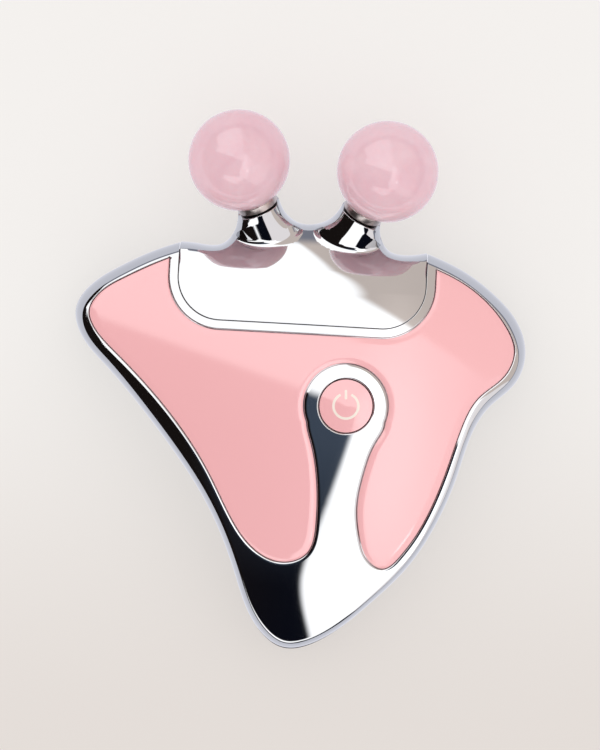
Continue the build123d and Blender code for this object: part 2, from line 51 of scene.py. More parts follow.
# %% Sizes shared with the CAD model
MM = 0.001
CROWN_RADIUS = 156.0
CROWN_TOP = 20.0
CROWN_Y = -2.0
PANEL_PROUD = 0.3
PANEL_THICKNESS = 1.5
ROOF_SINK = 3.3
SPLIT_HEIGHT = 8.0
WALL = 2.0
HEAD_TILT = math.radians(1.3)
BAY_HALF_WIDTH = 24.5
BAY_BOTTOM = 11.3
BAY_CORNER = 8.6
BAY_RIM = 1.75
SEAM = 0.12
BALL_RADIUS = 10.0
BALL_PLACE = (14.65, 42.65, 17.5)
TOE = math.radians(27.2)
LIFT = math.radians(26.0)
COLLAR_RADIUS = 4.1
NECK_RADIUS = 4.3
COLLAR_SEAT = math.sqrt(BALL_RADIUS**2 - COLLAR_RADIUS**2)
COLLAR_END = COLLAR_SEAT + 1.45
NECK_START = COLLAR_END + 0.3
BUTTON = (10.03, -3.94)
HOLE_RADIUS = 5.4
RING_RADIUS = 8.3
print("collar seat", round(COLLAR_SEAT, 2), "neck start", round(NECK_START, 2))

# %% [markdown]
# Materials are node trees. One function turns a hex colour into the linear values that shaders use,
# and one adds a node with its settings and links, so that each material below reads as a short list.
# The long names of the nodes that are used most, and the settings they need, get short names.

# %% Material helpers
def linear(hex_colour):
    """A hex sRGB colour as linear RGBA."""
    out = []
    for i in (1, 3, 5):
        c = int(hex_colour[i:i + 2], 16) / 255
        out.append(c / 12.92 if c <= 0.04045 else ((c + 0.055) / 1.055) ** 2.4)
    return (*out, 1.0)


def add_node(tree, kind, settings=None, **inputs):
    """Adds a node, sets its properties, and sets or links its inputs, named or numbered as in2."""
    node = tree.nodes.new(kind)
    for name, value in (settings or {}).items():
        setattr(node, name, value)
    for name, value in inputs.items():
        numbered = name[:2] == "in" and name[2:].isdigit()
        socket = node.inputs[int(name[2:])] if numbered else node.inputs[name.replace("_", " ")]
        if isinstance(value, bpy.types.NodeSocket):
            tree.links.new(value, socket)
        else:
            socket.default_value = value
    return node


def new_material(name):
    """An empty material, its node tree and its Principled shader."""
    material = bpy.data.materials.new(name)
    material.use_nodes = True
    tree = material.node_tree
    tree.nodes.clear()
    shader = add_node(tree, "ShaderNodeBsdfPrincipled")
    add_node(tree, "ShaderNodeOutputMaterial", Surface=shader.outputs[0])
    return material, tree, shader


MATH = "ShaderNodeMath"
RANGE = "ShaderNodeMapRange"
MIX = "ShaderNodeMix"
BACKGROUND = "ShaderNodeBackground"
SMOOTH = {"interpolation_type": "SMOOTHSTEP"}
COLOUR = {"data_type": "RGBA"}
LENGTH = {"operation": "LENGTH"}
ADD = {"operation": "ADD"}
SUBTRACT = {"operation": "SUBTRACT"}
MULTIPLY = {"operation": "MULTIPLY"}
MULTIPLY_ADD = {"operation": "MULTIPLY_ADD"}
DIVIDE = {"operation": "DIVIDE"}
MINIMUM = {"operation": "MINIMUM"}
MAXIMUM = {"operation": "MAXIMUM"}
print("pink as linear:", [round(c, 3) for c in linear("#FDBFC0")])

# %% [markdown]
# The device lies on its back, so the camera hangs above it and looks straight down, turned a little.
# A long lens from far away keeps the balls and the button round.

# %% Camera
VIEW_HEIGHT = 148.2
VIEW_DISTANCE = 1600.0
VIEW_CENTRE = (0.56, 1.45, 10.0)
CAMERA_TURN = math.radians(4.446)
SENSOR_WIDTH = 36.0
camera_data = bpy.data.cameras.new("camera")
camera = bpy.data.objects.new("camera", camera_data)
bpy.context.scene.collection.objects.link(camera)
camera_data.sensor_width = SENSOR_WIDTH
camera_data.lens = SENSOR_WIDTH * VIEW_DISTANCE / VIEW_HEIGHT
camera_data.clip_end = 10
camera.location = (VIEW_CENTRE[0] * MM, VIEW_CENTRE[1] * MM, (VIEW_DISTANCE + VIEW_CENTRE[2]) * MM)
camera.rotation_euler = (0, 0, CAMERA_TURN)
bpy.context.scene.camera = camera
bpy.context.scene.view_settings.view_transform = "Standard"
print("lens", round(camera_data.lens), "mm")

# %% [markdown]
# Polished chrome shows nothing but its surroundings, so the studio matters more than the metal.
# A photographer hangs white and black cards round such an object. Here the world is those cards: it is
# white overhead, with a dark card low on the left, a warm grey one behind on the right, a grey line at
# the horizon and two lamps. Only mirror rays see them, and the white is bright enough to come back
# white from chromium, which returns little more than half of the light; everything else sees plain soft
# light. A card is placed by the slope of the ray: right = X / Z and up = Y / Z. A Map Range node gives
# each card a soft edge: it goes from 0 to 1 between its From Min and its From Max.

# %% World with cards
LOWEST_RAY = 0.02
world = bpy.data.worlds.new("studio")
bpy.context.scene.world = world
world.use_nodes = True
studio = world.node_tree
studio.nodes.clear()
direction = add_node(studio, "ShaderNodeTexCoord").outputs["Generated"]
split = add_node(studio, "ShaderNodeSeparateXYZ", Vector=direction)
sky_height = split.outputs["Z"]
height = add_node(studio, MATH, MAXIMUM, in0=sky_height, in1=LOWEST_RAY).outputs[0]
right = add_node(studio, MATH, DIVIDE, in0=split.outputs["X"], in1=height).outputs[0]
up = add_node(studio, MATH, DIVIDE, in0=split.outputs["Y"], in1=height).outputs[0]

# Most edges are straight lines: the slope that they follow, how they lean, and where they start.
STRAIGHT_EDGES = {
    "dark side": (up, 0.245, 0.183),
    "dark top": (right, -0.27, 0.012),
    "warm foot": (up, -2.03, 0.697),
    "warm side": (up, -0.105, 0.29),
    "warm fold": (up, -0.035, 0.155),
}
edge = {}
for name, (slope, lean, start) in STRAIGHT_EDGES.items():
    edge[name] = add_node(studio, MATH, MULTIPLY_ADD, in0=slope, in1=lean, in2=start).outputs[0]

# Other changes follow one slope alone, and are spread from the first value to the second.
CHANGES = {
    "foot": (up, -0.48, -0.95),
    "depth": (up, -0.05, -0.6),
    "far left": (right, 0.08, -0.3),
    "far right": (right, 0.4, 0.55),
    "horizon": (sky_height, 0.26, 0.18),
}
change = {}
for name, (slope, start, end) in CHANGES.items():
    change[name] = add_node(studio, RANGE, SMOOTH, Value=slope, From_Min=start, From_Max=end).outputs[0]

# The dark card's right edge leans to the left as it goes down, down to where its foot widens. Its top
# edge rises to the left, and its lower end is level, then falls away on the left.
FOOT_WIDTH = 0.16
END_LEAN = 1.3
END_LEVEL = -0.85
foot = add_node(studio, MATH, MULTIPLY, in0=change["foot"], in1=FOOT_WIDTH).outputs[0]
side = add_node(studio, MATH, ADD, in0=edge["dark side"], in1=foot).outputs[0]
end = add_node(studio, MATH, MULTIPLY, in0=right, in1=END_LEAN).outputs[0]
end = add_node(studio, MATH, MINIMUM, in0=end, in1=END_LEVEL).outputs[0]
dark_card = 1.0
for beyond, before, softness in ((side, right, 0.012), (edge["dark top"], up, 0.015), (up, end, 0.03)):
    gap = add_node(studio, MATH, SUBTRACT, in0=beyond, in1=before).outputs[0]
    share = add_node(studio, RANGE, SMOOTH, Value=gap, From_Min=-softness, From_Max=softness).outputs[0]
    dark_card = add_node(studio, MATH, MULTIPLY, in0=dark_card, in1=share).outputs[0]

# A second dark card stands low at the front, and its top rises to the right. Both get darker downwards
# and to the left.
FRONT_RISE = -0.5
front = add_node(studio, MATH, ADD, in0=right, in1=up).outputs[0]
front = add_node(studio, RANGE, SMOOTH, Value=front, From_Min=-0.52, From_Max=-0.58).outputs[0]
rise = add_node(studio, MATH, MAXIMUM, in0=right, in1=0.0).outputs[0]
low = add_node(studio, MATH, MULTIPLY_ADD, in0=rise, in1=FRONT_RISE, in2=sky_height).outputs[0]
low = add_node(studio, RANGE, SMOOTH, Value=low, From_Min=0.56, From_Max=0.52).outputs[0]
front = add_node(studio, MATH, MULTIPLY, in0=front, in1=low).outputs[0]
dark_card = add_node(studio, MATH, MAXIMUM, in0=dark_card, in1=front).outputs[0]
dark_tone = linear("#3A4350")
for share, tone in ((change["depth"], linear("#080A12")), (change["far left"], linear("#14100F"))):
    dark_tone = add_node(studio, MIX, COLOUR, in0=share, in6=dark_tone, in7=tone).outputs[2]

# The warm card's lower edge falls steeply to the right, and its left edge leans to the left far up.
left_edge = add_node(studio, MATH, MINIMUM, in0=edge["warm side"], in1=edge["warm fold"]).outputs[0]
warm_edge = add_node(studio, MATH, MAXIMUM, in0=edge["warm foot"], in1=left_edge).outputs[0]
warm = add_node(studio, MATH, SUBTRACT, in0=right, in1=warm_edge).outputs[0]
warm = add_node(studio, RANGE, SMOOTH, Value=warm, From_Min=-0.015, From_Max=0.04).outputs[0]

# Over the white lie, in this order, a duller white far on the right, the warm card, the grey line that
# the horizon shows below the cards, and the dark cards.
sky = linear("#FFFFFF")
for share, tone in (
    (change["far right"], linear("#D9D4D4")),
    (warm, linear("#B8ADA6")),
    (change["horizon"], linear("#70727C")),
    (dark_card, dark_tone),
):
    sky = add_node(studio, MIX, COLOUR, in0=share, in6=sky, in7=tone).outputs[2]

print("cards:", len(studio.nodes), "nodes")

# %% [markdown]
# The lamps are bright patches on the white: a tall soft box on the right, and a small lamp lower down,
# which lights up the balls. Light Path then shows the cards and lamps to mirror rays alone.

# %% Lamps and light
WHITE_STRENGTH = 1.8
SOFT_STRENGTH = 0.97
# each lamp's place, its half width and height, and its strength
LAMPS = ((0.27, -0.12, 0.16, 0.5, 0.9), (0.43, -0.465, 0.1, 0.1, 3.5))
sheet_place = add_node(studio, "ShaderNodeCombineXYZ", in0=right, in1=up).outputs[0]
brightness = WHITE_STRENGTH
for across_at, up_at, half_width, half_height, strength in LAMPS:
    scale = (1 / half_width, 1 / half_height, 1)
    centre = (-across_at / half_width, -up_at / half_height, 0)
    lamp = add_node(studio, "ShaderNodeMapping", Vector=sheet_place, Scale=scale, Location=centre)
    away = add_node(studio, "ShaderNodeVectorMath", LENGTH, in0=lamp.outputs[0]).outputs["Value"]
    lit = add_node(studio, RANGE, SMOOTH, Value=away, From_Min=1.0, From_Max=0.2, To_Max=strength)
    brightness = add_node(studio, MATH, ADD, in0=lit.outputs[0], in1=brightness).outputs[0]

path = add_node(studio, "ShaderNodeLightPath")
cards = add_node(studio, BACKGROUND, Color=sky, Strength=brightness)
soft = add_node(studio, BACKGROUND, Color=linear("#FFFFFF"), Strength=SOFT_STRENGTH)
backdrop = add_node(studio, BACKGROUND, Color=linear("#F1EDE9"), Strength=1.0)
light = soft
for ray, seen in (("Is Glossy Ray", cards), ("Is Camera Ray", backdrop)):
    light = add_node(
        studio, "ShaderNodeMixShader", in0=path.outputs[ray], in1=light.outputs[0], in2=seen.outputs[0])
add_node(studio, "ShaderNodeOutputWorld", Surface=light.outputs[0])
print("world nodes:", len(studio.nodes))

# %% [markdown]
# The floor is one large pale sheet under the device. Its colour is painted darker downwards, as painted shade
# for the light that falls off across seamless paper.
# It keeps the soft shadow that the device drops on it, half filled by the paper's own glow, and what the
# chrome mirrors of it is a painted glow of cooler grey: painted shade for paper away from the lamp.

# %% Floor
FLOOR_WIDTH = 3.0
FALLOFF_START = -75.0
FALLOFF_END = 20.0
PAPER_GLOW = 0.6
MIRROR_SHADE_STRENGTH = 1.4
bpy.ops.object.select_all(action="DESELECT")
bpy.ops.mesh.primitive_plane_add(size=FLOOR_WIDTH, location=(0, 0, 0))
floor = bpy.context.active_object
floor.name = "floor"
paper, tree, shader = new_material("seamless_paper")
place = add_node(tree, "ShaderNodeTexCoord").outputs["Object"]
turned = add_node(tree, "ShaderNodeMapping", Vector=place, Rotation=(0, 0, -CAMERA_TURN))
along = add_node(tree, "ShaderNodeSeparateXYZ", Vector=turned.outputs[0]).outputs["Y"]
# painted shade: the floor's colour darkens towards the bottom
painted_falloff = add_node(tree, RANGE, SMOOTH, Value=along, From_Min=FALLOFF_START * MM, From_Max=FALLOFF_END * MM).outputs[0]
tone = add_node(tree, MIX, COLOUR, in0=painted_falloff, in6=linear("#E6DFDA"), in7=linear("#F6F3F0")).outputs[2]
shader.inputs["Roughness"].default_value = 0.9
shader.inputs["Specular IOR Level"].default_value = 0.1
tree.links.new(tone, shader.inputs["Base Color"])
rays = add_node(tree, "ShaderNodeLightPath").outputs
by_camera = add_node(tree, MATH, MULTIPLY, in0=rays["Is Camera Ray"], in1=PAPER_GLOW)
by_mirror = add_node(tree, MATH, MAXIMUM, in0=rays["Is Glossy Ray"], in1=rays["Is Transmission Ray"])
glow = add_node(tree, "ShaderNodeEmission", Color=tone, Strength=1.0)
# painted shade: a cooler grey glow that only mirror and transmission rays see, for paper away from the lamp
mirror_shade_glow = add_node(tree, "ShaderNodeEmission", Color=linear("#CDCED7"), Strength=MIRROR_SHADE_STRENGTH)
surface = shader
for share, seen in ((by_camera, glow), (by_mirror, mirror_shade_glow)):
    surface = add_node(
        tree, "ShaderNodeMixShader", in0=share.outputs[0], in1=surface.outputs[0], in2=seen.outputs[0])
tree.links.new(surface.outputs[0], tree.nodes["Material Output"].inputs["Surface"])
floor.data.materials.append(paper)
print("floor", [round(v, 2) for v in floor.dimensions])

# %% [markdown]
# ## Finishes
# The shells are moulded plastic with a bright decorative chromium plating, so they are a full metal
# with almost no roughness. The panels and the button are lacquered: a solid pink under a clear coat.
# No real surface has quite one tone, so each colour wanders a little between two near tones.

# %% Finishes of the outer pieces
def mottled(name, dark, pale, patch_mm, surface, **noise):
    """A material whose colour wanders between two tones in patches of the given size."""
    material, tree, shader = new_material(name)
    place = add_node(tree, "ShaderNodeTexCoord").outputs["Object"]
    patches = add_node(tree, "ShaderNodeTexNoise", Vector=place, Scale=1 / (patch_mm * MM), **noise)
    colour = add_node(tree, MIX, COLOUR, in0=patches.outputs[0], in6=linear(dark), in7=linear(pale))
    tree.links.new(colour.outputs[2], shader.inputs["Base Color"])
    for socket, value in surface.items():
        shader.inputs[socket].default_value = value
    return material


def chromium_plating():
    """Electroplated ABS: a mirror, with a breath of haze from the moulding under it."""
    surface = {"Metallic": 1.0, "Roughness": 0.03}
    return mottled("chromium_plating", "#C3C4C6", "#CBCCCE", 8.33, surface, Detail=3.0)


def pink_lacquer():
    """Sprayed lacquer under a thick clear coat, which mirrors the cards faintly."""
    surface = {"Roughness": 0.35, "Coat Weight": 1.0, "Coat Roughness": 0.05, "Coat IOR": 1.7}
    return mottled("pink_lacquer", "#FDB7BA", "#FEBDBF", 71.4, surface, Detail=2.0)


def rose_quartz():
    """Polished stone: cloudy pink inside, wet-looking outside."""
    surface = {
        "Roughness": 0.05, "IOR": 1.54, "Subsurface Weight": 0.25,
        "Subsurface Radius": (4 * MM, 2 * MM, 2 * MM), "Subsurface Scale": 1.0,
    }
    clouds = {"Detail": 4.0, "Roughness": 0.6, "Distortion": 0.8}
    return mottled("rose_quartz", "#E5B3BF", "#F4D5DB", 11.1, surface, **clouds)


def satin_steel():
    """Turned and bead-blasted stainless steel: a soft sheen. Its grit is drawn coarser, to show."""
    surface = {"Metallic": 1.0, "Roughness": 0.3}
    return mottled("satin_steel", "#BDB1AE", "#CEC5C2", 1.11, surface, Detail=2.0)


def light_guide():
    """Moulded milky acrylic, which spreads the lamp's light evenly through the symbol."""
    return mottled("light_guide_acrylic", "#FBEBDD", "#FDF1E6", 1.67, {"Roughness": 0.2})


def painted_seam_black():
    """Dull black for the cord that stands as painted shade in the head's seam, a little dusty. The dust is
    drawn coarser, to show.
    """
    return mottled("painted_seam_black", "#121215", "#1E1E22", 0.5, {"Roughness": 0.8}, Detail=2.0)


chrome = chromium_plating()
pink = pink_lacquer()
quartz = rose_quartz()
steel = satin_steel()
cream = light_guide()
# painted shade: the black of the cord laid in the head's seam
seam_black = painted_seam_black()
print("finishes:", len(bpy.data.materials))

# %% [markdown]
# ## Outlines
# The chrome bezel is a curved shell with a rolled outer edge, a recess for the pink panel, a bay for
# the head and a hole for the button. Its edges are smooth curves through a few measured points, as a
# designer draws them. The first helpers turn such points into an evenly spaced loop.

# %% Curves
# along a curve, places lie this far apart
FINE_STEP = 0.05
OUTLINE = [
    (-20.5, 27.3), (-24.6, 25.95), (-30.8, 23.4), (-36.5, 20.2), (-41.5, 16.6), (-44.65, 11.2),
    (-42.6, 5.2), (-38.2, 0.7), (-31.0, -6.5), (-23.4, -15.1), (-17.2, -23.2), (-12.4, -31.5),
    (-8.9, -39.6), (-5.2, -47.4), (1.3, -52.55), (9.2, -50.1), (17.8, -42.6), (24.8, -34.6),
    (29.9, -25.2), (33.0, -16.2), (35.0, -8.4), (38.4, -1.9), (42.9, 2.8), (44.7, 8.3),
    (42.5, 15.3), (37.3, 20.5), (31.8, 24.1), (24.6, 27.0), (20.5, 28.3),
]
LEFT_EDGE = [
    (-20.0, 25.2), (-26.4, 22.75), (-31.0, 20.5), (-35.6, 17.9), (-39.8, 14.9), (-41.9, 10.9),
    (-40.3, 7.2), (-36.2, 3.2), (-29.6, -2.7), (-22.5, -10.2), (-16.3, -18.5), (-11.2, -27.1),
    (-6.2, -33.2), (0.0, -35.6), (4.5, -33.7), (6.0, -27.5), (5.4, -18.6), (3.7, -11.5), (2.6, -7.6),
    (3.4, -4.6),
]
RIGHT_EDGE = [
    (17.6, -5.0), (17.8, -7.6), (16.4, -10.6), (14.5, -16.8), (13.7, -23.4), (14.7, -29.8), (17.0, -34.3),
    (19.6, -35.5), (23.0, -32.8), (27.6, -24.7), (30.9, -14.9), (33.0, -7.0), (36.2, -0.2), (40.5, 3.9),
    (42.4, 9.2), (40.1, 14.4), (35.6, 19.1), (30.6, 22.3), (26.3, 24.1), (20.0, 26.3),
]


def smooth_curve(points):
    """A cubic spline through the points, as a row of places a small step apart."""
    p = np.array(points, float)
    t = np.concatenate([[0], np.cumsum(np.linalg.norm(np.diff(p, axis=0), axis=1))])
    n, gap = len(p), np.diff(t)
    lines, wanted = np.zeros((n, n)), np.zeros((n, 2))
    for i in range(1, n - 1):
        lines[i, i - 1:i + 2] = gap[i], 2 * (gap[i - 1] + gap[i]), gap[i - 1]
        wanted[i] = 3 * (gap[i] * (p[i] - p[i - 1]) / gap[i - 1] + gap[i - 1] * (p[i + 1] - p[i]) / gap[i])
    for row, near in ((0, range(4)), (n - 1, range(n - 4, n))):
        lines[row, row] = 1
        for axis in (0, 1):
            fit = np.polyfit(t[list(near)] - t[row], p[list(near), axis], 3)
            wanted[row, axis] = fit[2]
    slopes = np.linalg.solve(lines, wanted)
    at = np.linspace(0, t[-1], int(t[-1] / FINE_STEP) + 1)
    k = np.clip(np.searchsorted(t, at, side="right") - 1, 0, n - 2)
    s = ((at - t[k]) / gap[k])[:, None]
    h = gap[k][:, None]
    return ((2 * s**3 - 3 * s**2 + 1) * p[k] + (s**3 - 2 * s**2 + s) * h * slopes[k]
            + (3 * s**2 - 2 * s**3) * p[k + 1] + (s**3 - s**2) * h * slopes[k + 1])


print("outline:", len(OUTLINE), "points, places along it:", len(smooth_curve(OUTLINE)))

# %% [markdown]
# The head's bay is a U with straight walls and round corners, so formulas describe it exactly: one helper
# measures how far a place is from its wall, and one walks along it. Another joins such walks and curves
# to a closed loop with even spacing.

# %% Bay and loops
# ends of rows that are nearer than this are one place
JOINED = 0.1
CORNER_PLACES = 200
RING_PLACES = 400


def bay_distance(points, growth):
    """Distance of places from the bay's wall, grown on all sides; inside is negative."""
    u = points[:, 0] * math.cos(HEAD_TILT) + points[:, 1] * math.sin(HEAD_TILT)
    v = points[:, 1] * math.cos(HEAD_TILT) - points[:, 0] * math.sin(HEAD_TILT)
    corner = BAY_CORNER + growth
    across = np.abs(u) - BAY_HALF_WIDTH - growth + corner
    back = BAY_BOTTOM - growth + corner - v
    inside = np.minimum(np.maximum(across, back), 0)
    return inside + np.hypot(np.maximum(across, 0), np.maximum(back, 0)) - corner


def bay_walk(growth, right_end, left_end):
    """The bay's wall from its right side down, along the bottom and up the left side."""
    corner = BAY_CORNER + growth
    half = BAY_HALF_WIDTH + growth
    base = BAY_BOTTOM - growth
    turn = np.linspace(0, math.pi / 2, CORNER_PLACES)
    walk = [(half, v) for v in np.arange(right_end, base + corner, -FINE_STEP)]
    walk += [(half - corner + corner * math.cos(a), base + corner - corner * math.sin(a)) for a in turn]
    walk += [(u, base) for u in np.arange(half - corner, corner - half, -FINE_STEP)]
    walk += [(corner - half - corner * math.sin(a), base + corner - corner * math.cos(a)) for a in turn]
    walk += [(-half, v) for v in np.arange(base + corner, left_end, FINE_STEP)]
    walk = np.array(walk)
    c, s = math.cos(HEAD_TILT), math.sin(HEAD_TILT)
    return np.column_stack([walk[:, 0] * c - walk[:, 1] * s, walk[:, 0] * s + walk[:, 1] * c])


def even_loop(rows, spacing=0.4):
    """Joined rows as one closed loop with even spacing, and its inward normals (its left side)."""
    path = []
    for row in rows:
        length = np.concatenate([[0], np.cumsum(np.linalg.norm(np.diff(row, axis=0), axis=1))])
        count = max(2, int(round(length[-1] / spacing)))
        at = np.linspace(0, length[-1], count + 1)
        path.append(np.column_stack([np.interp(at, length, row[:, 0]), np.interp(at, length, row[:, 1])]))
    parts = path[:1]
    for last, row in zip(path, path[1:]):
        joined = np.linalg.norm(row[0] - last[-1]) < JOINED
        parts.append(row[1:] if joined else row)
    loop = np.vstack(parts)
    if np.linalg.norm(loop[0] - loop[-1]) < JOINED:
        loop = loop[:-1]
    along = np.roll(loop, -1, axis=0) - np.roll(loop, 1, axis=0)
    along /= np.linalg.norm(along, axis=1)[:, None]
    return loop, np.column_stack([-along[:, 1], along[:, 0]])


def along_bay(points, axis):
    """How far places lie to the bay's right (axis 0) or towards its back (axis 1)."""
    c, s = math.cos(HEAD_TILT), math.sin(HEAD_TILT)
    return points @ (np.array([c, s]) if axis == 0 else np.array([-s, c]))


# the body's outline, the bay, and the body with the bay cut out of its top
outer = smooth_curve(OUTLINE)
outline_loop = even_loop([outer], spacing=0.2)
outer = outer[bay_distance(outer, 0) > 0]
body_loop = even_loop([outer, bay_walk(0, along_bay(outer, 1)[-1], along_bay(outer, 1)[0])])

# the recess that holds the panel: two lobes, over the button's ring and under the bay's rim
ring_centre = np.array(BUTTON)
rows = []
for row in (smooth_curve(LEFT_EDGE), smooth_curve(RIGHT_EDGE)):
    outside_ring = np.linalg.norm(row - ring_centre, axis=1) > RING_RADIUS
    rows.append(row[outside_ring & (bay_distance(row, BAY_RIM) > 0)])
left_row, right_row = rows
start = math.atan2(*(left_row[-1] - ring_centre)[::-1]) % (2 * math.pi)
end = math.atan2(*(right_row[0] - ring_centre)[::-1])
turn = np.linspace(start, end + (0 if end < start else -2 * math.pi), RING_PLACES)
ring_row = ring_centre + RING_RADIUS * np.column_stack([np.cos(turn), np.sin(turn)])
rim_row = bay_walk(BAY_RIM, along_bay(right_row, 1)[-1], along_bay(left_row, 1)[0])
recess_loop = even_loop([left_row, ring_row, right_row, rim_row])
print("outline", len(body_loop[0]), "recess", len(recess_loop[0]), "places")
print("ring from", round(math.degrees(start)), "to", round(math.degrees(turn[-1])), "degrees")

# %% [markdown]
# A shaped sheet lies over the crown and drops towards each edge along that edge's own roll. The drop and
# its steepness depend only on the distance from the edge, so both the height and the exact normal of
# any point are known. The sheet gets rows of points along each edge, close together where it bends,
# and an even field between them; a Delaunay triangulation joins them.

# %% Sheet helpers
# points are measured in chunks, to spare memory, and those nearer than this are on the edge
CHUNK = 1500
ON_EDGE = 0.003


def nearest(points, loop, normals):
    """Distance of each point from a loop, and the loop's inward normal there."""
    a, b = loop, np.roll(loop, -1, axis=0)
    run = b - a
    square = (run**2).sum(axis=1)
    best, push = np.empty(len(points)), np.empty((len(points), 2))
    for low in range(0, len(points), CHUNK):
        p = points[low:low + CHUNK]
        t = np.clip(((p[:, None] - a) * run).sum(axis=2) / square, 0, 1)
        gap = np.linalg.norm(p[:, None] - a - t[..., None] * run, axis=2)
        k = gap.argmin(axis=1)
        row = np.arange(len(p))
        best[low:low + CHUNK] = gap[row, k]
        share = t[row, k][:, None]
        push[low:low + CHUNK] = normals[k] * (1 - share) + np.roll(normals, -1, axis=0)[k] * share
    return best, push / np.linalg.norm(push, axis=1)[:, None]


def within(points, loop):
    """Which points lie inside a loop."""
    inside = np.zeros(len(points), bool)
    for a, b in zip(loop, np.roll(loop, -1, axis=0)):
        if a[1] != b[1]:
            crosses = (a[1] > points[:, 1]) != (b[1] > points[:, 1])
            inside ^= crosses & (points[:, 0] < (b[0] - a[0]) * (points[:, 1] - a[1]) / (b[1] - a[1]) + a[0])
    return inside


def bay_edge(points, step=0.001):
    """Distance and inward normal for the bay's straight and round walls, from their formula."""
    gap = bay_distance(points, 0)
    across = bay_distance(points + (step, 0.0), 0) - gap
    along = bay_distance(points + (0.0, step), 0) - gap
    return np.maximum(gap, 0), np.column_stack([across, along]) / step


def rolled(points, sink, rolls):
    """Heights and normals of points on the lowered crown, with each roll (loop, width, depth)."""
    x, y = points[:, 0], points[:, 1] - CROWN_Y
    cap = np.sqrt((CROWN_RADIUS - sink) ** 2 - x**2 - y**2)
    z = CROWN_TOP - CROWN_RADIUS + cap
    slope = np.column_stack([-x / cap, -y / cap])
    steep, level = np.zeros((len(points), 2)), np.ones(len(points))
    for edge, width, depth in rolls:
        gap, push = edge(points) if callable(edge) else nearest(points, *edge)
        width = width(points) if callable(width) else width
        share = np.clip(1 - gap / width, 0, 1)
        share[gap < ON_EDGE] = 1
        z = z - depth * (1 - np.sqrt(1 - share**2))
        tilt = np.arctan2(depth / width * share, np.sqrt(1 - share**2))
        steep = steep * np.cos(tilt)[:, None] + push * (np.sin(tilt) * level)[:, None]
        level = level * np.cos(tilt)
    normal = np.column_stack([-slope * level[:, None] - steep, level])
    return z, normal / np.linalg.norm(normal, axis=1)[:, None]


print("crown over the button:", rolled(np.array([BUTTON]), PANEL_PROUD, ())[0].round(2), "mm")

# %% [markdown]
# A skin is made of sheets and of the walls between their edges. Each corner of each face is given its
# exact normal, so that a mirror finish shows a smooth shape and no facets.

# %% Triangles and skins
# a row keeps its distance from the edges to this share, or at least the clearance
NEARLY = 0.97
ROW_CLEARANCE = 0.25
# the even field, in shares of its spacing: between its lines, and from the rows and edges
TRIANGLE_PITCH = 0.87
ROW_MARGIN = 0.4
EDGE_MARGIN = 0.5
# points nearer than this are one for the triangulation, and a lower wall has no face
CLOSEST = 0.00001
NO_HEIGHT = 0.001
MERGE_DIGITS = 4


def field(outline, holes, rows, spacing, extra=None):
    """Triangles over a plan with holes.

    Rows lists (loop, distances of its rows of points), extra gives further points, and an even field
    of points with the given spacing fills what is left.
    """
    edges = [outline] + holes
    cloud, rings = [], [loop for loop, _ in edges]
    for (loop, normals), steps in rows:
        for step in steps:
            ring = loop + normals * step
            ring = ring[within(ring, outline[0]) & (nearest(ring, loop, normals)[0] > step * NEARLY)]
            gap = np.min([nearest(ring, *edge)[0] for edge in edges], axis=0)
            cloud.append(ring[gap > min(step, ROW_CLEARANCE) * NEARLY])
    low, high = outline[0].min(axis=0), outline[0].max(axis=0)
    grid = []
    for i, y in enumerate(np.arange(low[1], high[1], spacing * TRIANGLE_PITCH)):
        xs = np.arange(low[0] + (i % 2) * spacing / 2, high[0], spacing)
        grid.append(np.column_stack([xs, np.full(len(xs), y)]))
    grid = np.vstack(grid)
    for (loop, normals), steps in rows:
        grid = grid[nearest(grid, loop, normals)[0] > max(steps) + spacing * ROW_MARGIN]
    for loop, normals in edges:
        grid = grid[nearest(grid, loop, normals)[0] > spacing * EDGE_MARGIN]
    cloud = np.vstack(cloud + [grid] + ([] if extra is None else [extra]))
    cloud = cloud[within(cloud, outline[0])]
    for loop, _ in holes:
        cloud = cloud[~within(cloud, loop)]
    points, lines, first = np.vstack(rings + [cloud]), [], 0
    for ring in rings:
        lines += [(first + i, first + (i + 1) % len(ring)) for i in range(len(ring))]
        first += len(ring)
    made = delaunay_2d_cdt([Vector(p) for p in points], lines, [], 0, CLOSEST)
    points = np.array([tuple(p) for p in made[0]])
    faces = np.array([f for f in made[2] if len(f) == 3])
    middle = points[faces].mean(axis=1)
    keep = within(middle, outline[0])
    for loop, _ in holes:
        keep &= ~within(middle, loop)
    return points, faces[keep]


def circle_loop(centre, radius, count=96):
    """A hole's edge. Its normals point away from the hole, into the sheet."""
    turn = np.linspace(0, -2 * math.pi, count, endpoint=False)
    ring = np.column_stack([np.cos(turn), np.sin(turn)])
    return np.array(centre) + radius * ring, ring


def hole_in(loop):
    """The same loop seen as the edge of a hole."""
    return loop[0][::-1], -loop[1][::-1]


